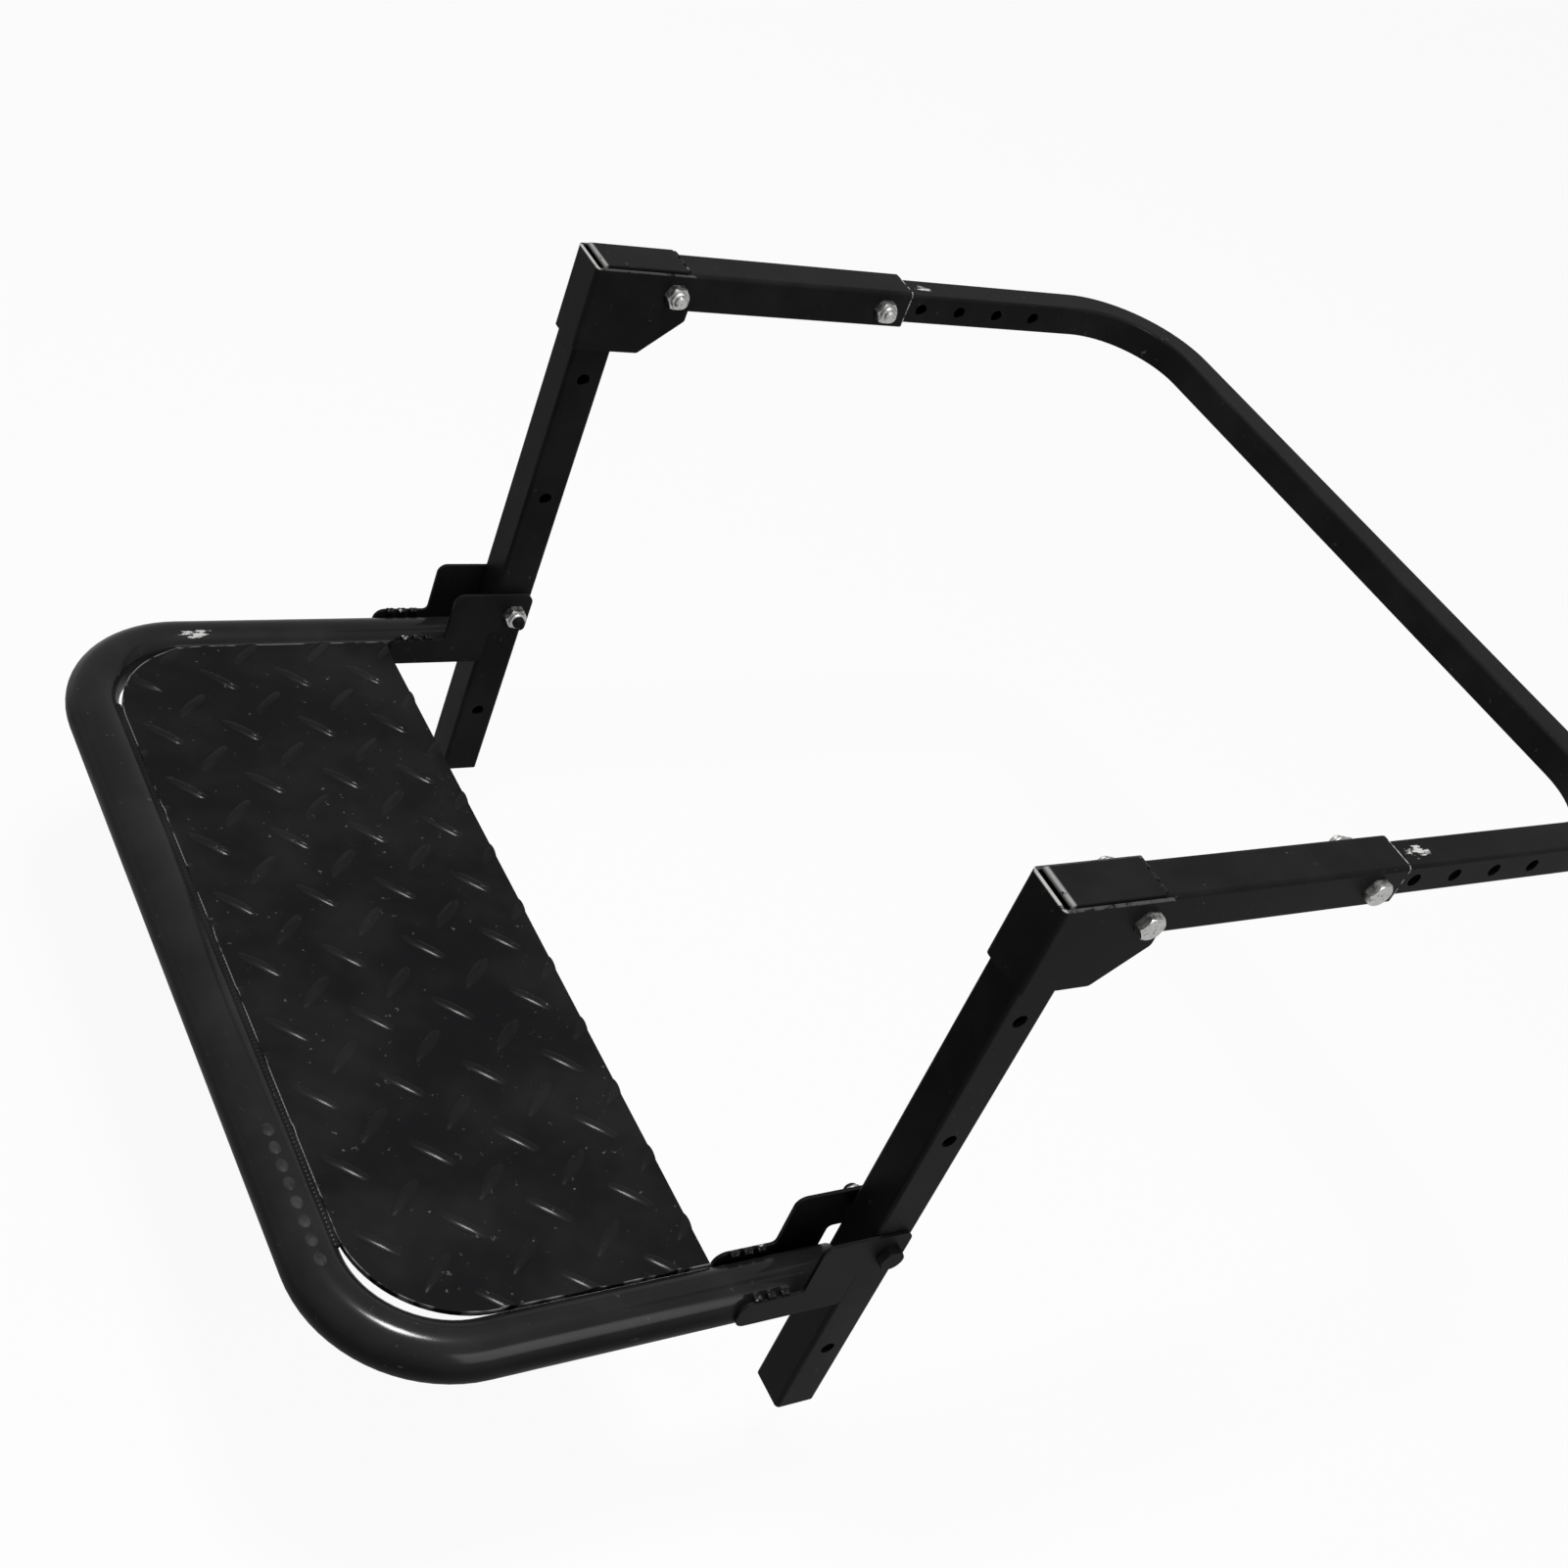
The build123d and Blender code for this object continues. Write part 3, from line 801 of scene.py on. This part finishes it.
class TIRESTEP_OT_weld_seams(bpy.types.Operator):
    """Weld the ears, top plates, brackets and tread plate to their tubes"""

    bl_idname = "tirestep.weld_seams"
    bl_label = "Weld the seams"

    def execute(self, context):
        weld = context.scene.tire_step_weld
        paint = context.scene.tire_step_paint

        def glints(finish):
            """Painted glints of the beads, as small bare-coloured spots: an edge that is near everywhere."""
            return finish.edge_wear_and_highlight(0.0, 0.0, *WELD_GLINT_SPOTS)

        def dashes(finish):
            """Bare colour along the seam, in long dashes: bare metal and a painted highlight of the bead."""
            line = finish.edge_wear_and_highlight(finish.x, SEAM_LINE_X, *SEAM_LINE_WEAR_AND_HIGHLIGHT)
            return maths(finish.tree, "MULTIPLY", line, SEAM_BARE_AND_HIGHLIGHT)

        coated = powder_coat("weld_powder_coat", paint, glints, gloss=upward_gloss(WELD_GLOSS))
        seam = powder_coat("seam_powder_coat", paint, dashes, gloss=upward_gloss(SEAM_GLOSS))
        for side, sign in SIDES.items():
            finish_piece(f"{side}_ear_welds", self.ear_welds(sign, weld), coated, "step")
            finish_piece(f"{side}_top_plate_welds", self.top_plate_welds(sign, weld), coated, "arms")
            finish_piece(f"{side}_bracket_welds", self.bracket_welds(sign, weld), coated, "legs")

        bm = bmesh.new()
        weld_run(bm, (SEAM_X, -SEAM_Y, SEAM_Z), (SEAM_X, SEAM_Y, SEAM_Z), SEAM_RISE, weld, SEAM_SHARE)
        finish_piece("tread_seam_weld", bm, seam, "step")
        return {"FINISHED"}

    def ear_welds(self, sign, weld):
        """Stitches along the top of the tube, beside the two ears of one side."""
        bm = bmesh.new()
        for face in (OUTER_EAR[0][1], INNER_EAR[1][1]):
            outward = 1 if face > TUBE_Y else -1
            y = sign * (face - outward * STITCH_INSET)
            x = STITCH_START
            while x + STITCH < STITCH_END:
                weld_run(bm, (x, y, STITCH_Z), (x + STITCH, y, STITCH_Z), (0, 0, 1), weld)
                x += STITCH_PITCH
        return bm

    def top_plate_welds(self, sign, weld):
        """Three beads across one sleeve."""
        bm = bmesh.new()
        middle = sign * LEG_Y
        reach = (TOP_PLATE[1][1] - TOP_PLATE[0][1]) / 2
        for low, high in TOP_RUNS:
            start = (TOP_RUN_X, middle + low * reach, TOP_RUN_Z)
            end = (TOP_RUN_X, middle + high * reach, TOP_RUN_Z)
            weld_run(bm, start, end, (0, 0, 1), weld)
        return bm

    def bracket_welds(self, sign, weld):
        """Beads on two sides and the outboard face of one leg."""
        bm = bmesh.new()
        middle = sign * LEG_Y
        low, high = LEG[0][0], LEG[1][0]
        for face in (-1, 1):
            y = middle + face * (LEG[1][1] - LEG[0][1]) / 2
            start = (low + COLLAR_INSET, y, COLLAR_Z)
            end = (high - COLLAR_INSET, y, COLLAR_Z)
            weld_run(bm, start, end, (0, face, 0), weld, COLLAR_SHARE)
        start = (low, middle - COLLAR_REACH, COLLAR_Z)
        end = (low, middle + COLLAR_REACH, COLLAR_Z)
        weld_run(bm, start, end, (-1, 0, 0), weld, COLLAR_SHARE)
        return bm


class TIRESTEP_OT_ripple_bend(bpy.types.Operator):
    """Put the ripples of the bending on the tube"""

    bl_idname = "tirestep.ripple_bend"
    bl_label = "Ripple the bend"

    def execute(self, context):
        bm = bmesh.new()
        for index in range(RIPPLE_COUNT):
            bmesh.ops.create_uvsphere(
                bm, u_segments=RIPPLE_SEGMENTS, v_segments=RIPPLE_RINGS, radius=1.0,
                matrix=ripple_place(-RIPPLE_START - index * RIPPLE_PITCH),
            )

        def sheen(finish):
            # Painted sheen: a faint, noisy share of the bare colour lightens the ripples as their reflection
            # would
            grain = noise(finish.tree, finish.place, *RIPPLE_NOISE)
            return ramp(finish.tree, grain, *RIPPLE_FADE, *RIPPLE_SHEEN)

        coated = powder_coat("ripple_powder_coat", context.scene.tire_step_paint, sheen)
        finish_piece("bend_ripples", bm, coated, "step")
        return {"FINISHED"}


# Floor, lamps and camera of the stage
FLOOR_REACH = 60.0
FLOOR_SPOT_COLOUR = (0.85, 0.85, 0.85, 1.0)
FLOOR_SPOT_SHARE = 0.02
FLOOR_ROUGHNESS = 0.9
OVERHEAD_SIZE = 0.4
OVERHEAD_PLACE = (-0.2, -0.05, 1.75)
OVERHEAD_TARGET = (-0.2, -0.05, 0.0)
SIDE_SIZE = 1.4
SIDE_PLACE = (0.5, -2.2, 0.9)
SIDE_TARGET = (-0.1, -0.2, -0.15)
CAMERA_PLACE = (-0.63436, -0.74310, 0.57451)
CAMERA_RIGHT = (0.82636, -0.44829, 0.34084)
CAMERA_UP = (0.08118, 0.69374, 0.71564)
CAMERA_LENS = 49.445
CAMERA_SENSOR = 36.0
CAMERA_SHIFT = (-0.0252, 0.0538)
CAMERA_CLIP = 0.01


class TIRESTEP_OT_stage(bpy.types.Operator):
    """Set the floor, the lamps, the room light and the camera"""

    bl_idname = "tirestep.stage"
    bl_label = "Set the stage"

    def execute(self, context):
        stage = context.scene.tire_step_stage
        self.lay_floor(context.scene, stage)
        self.hang_lamp(context.scene, "overhead", stage.overhead_power, OVERHEAD_SIZE, OVERHEAD_PLACE,
                       OVERHEAD_TARGET)
        self.hang_lamp(context.scene, "right_side", stage.side_power, SIDE_SIZE, SIDE_PLACE, SIDE_TARGET)
        self.light_room(context.scene, stage)
        self.aim_camera(context.scene)
        return {"FINISHED"}

    def lay_floor(self, scene, stage):
        """A floor that the camera sees almost white, and that lights the object as a pale one."""
        bm = bmesh.new()
        bmesh.ops.create_grid(
            bm, x_segments=1, y_segments=1, size=FLOOR_REACH,
            matrix=Matrix.Translation((0.0, 0.0, LEG[0][2] - stage.floor_drop)),
        )
        mesh = bpy.data.meshes.new("floor")
        bm.to_mesh(mesh)
        bm.free()
        finish = Finish("pale_floor")
        tree, shader = finish.tree, finish.shader
        grain = noise(tree, finish.place, *FLOOR_NOISE)
        spots = ramp(tree, grain, *MIDDLE_FADE, 0.0, FLOOR_SPOT_SHARE)
        colour = blend_colour(tree, spots, (*stage.floor_colour, 1.0), FLOOR_SPOT_COLOUR)
        feed(tree, shader, "Base Color", colour)
        shader.inputs["Roughness"].default_value = FLOOR_ROUGHNESS
        shader.inputs["Specular IOR Level"].default_value = 0.0
        glow = put(tree, "ShaderNodeEmission")
        both = put(tree, "ShaderNodeMixShader")
        feed(tree, both, 0, maths(tree, "MULTIPLY", seen_directly(tree), 1.0 - stage.shadow_share))
        feed(tree, both, 1, shader.outputs[0])
        feed(tree, both, 2, glow.outputs[0])
        feed(tree, tree.nodes["Material Output"], "Surface", both.outputs[0])
        mesh.materials.append(finish.material)
        floor = bpy.data.objects.new("floor", mesh)
        scene.collection.objects.link(floor)

    def hang_lamp(self, scene, name, power, size, place, target):
        """A square lamp that faces a target."""
        light = bpy.data.lights.new(name, "AREA")
        light.energy = power
        light.size = size
        lamp = bpy.data.objects.new(name, light)
        way = Vector(target) - Vector(place)
        lamp.matrix_world = Matrix.Translation(place) @ way.to_track_quat("-Z", "Y").to_matrix().to_4x4()
        scene.collection.objects.link(lamp)

    def light_room(self, scene, stage):
        """An even white room, with one brightness as a light and another where it is seen."""
        world = bpy.data.worlds.new("room")
        world.use_nodes = True
        tree = world.node_tree
        room = tree.nodes["Background"]
        room.inputs["Color"].default_value = (1.0, 1.0, 1.0, 1.0)
        level = ramp(tree, seen_directly(tree), 0.0, 1.0, stage.room_level, stage.backdrop_level)
        feed(tree, room, "Strength", level)
        scene.world = world
        scene.view_settings.view_transform = "Standard"

    def aim_camera(self, scene):
        """The camera that was fitted to the photo."""
        camera = bpy.data.cameras.new("photo_view")
        camera.sensor_width = CAMERA_SENSOR
        camera.lens = CAMERA_LENS
        camera.shift_x, camera.shift_y = CAMERA_SHIFT
        camera.clip_start = CAMERA_CLIP
        viewer = bpy.data.objects.new("photo_view", camera)
        right = Vector(CAMERA_RIGHT)
        up = Vector(CAMERA_UP)
        turn = Matrix((right, up, right.cross(up))).transposed().to_4x4()
        viewer.matrix_world = Matrix.Translation(CAMERA_PLACE) @ turn
        scene.collection.objects.link(viewer)
        scene.camera = viewer


class TIRESTEP_PT_panel(bpy.types.Panel):
    """Lists the steps and their settings"""

    bl_idname = "TIRESTEP_PT_panel"
    bl_label = "Tire Step"
    bl_space_type = "VIEW_3D"
    bl_region_type = "UI"
    bl_category = "Tire Step"

    def draw(self, context):
        for operator in OPERATORS:
            self.layout.operator(operator.bl_idname)
        for name in SETTINGS:
            box = self.layout.box()
            settings = getattr(context.scene, name)
            for prop in settings.bl_rna.properties:
                if prop.identifier not in ("rna_type", "name"):
                    box.prop(settings, prop.identifier)


SETTINGS = {
    "tire_step_paint": PaintSettings,
    "tire_step_zinc": ZincSettings,
    "tire_step_lugs": LugSettings,
    "tire_step_weld": WeldSettings,
    "tire_step_stage": StageSettings,
}
OPERATORS = (
    TIRESTEP_OT_paint_frame,
    TIRESTEP_OT_paint_tread,
    TIRESTEP_OT_plate_fasteners,
    TIRESTEP_OT_weld_seams,
    TIRESTEP_OT_ripple_bend,
    TIRESTEP_OT_stage,
)


def register():
    for name, group in SETTINGS.items():
        bpy.utils.register_class(group)
        setattr(bpy.types.Scene, name, PointerProperty(type=group))
    for cls in (*OPERATORS, TIRESTEP_PT_panel):
        bpy.utils.register_class(cls)


def unregister():
    for cls in reversed((*OPERATORS, TIRESTEP_PT_panel)):
        bpy.utils.unregister_class(cls)
    for name, group in reversed(SETTINGS.items()):
        delattr(bpy.types.Scene, name)
        bpy.utils.unregister_class(group)


def main():
    """Build the scene."""
    register()
    bpy.ops.tirestep.paint_frame()
    bpy.ops.tirestep.paint_tread()
    bpy.ops.tirestep.plate_fasteners()
    bpy.ops.tirestep.weld_seams()
    bpy.ops.tirestep.ripple_bend()
    bpy.ops.tirestep.stage()


if __name__ == "__main__":
    main()
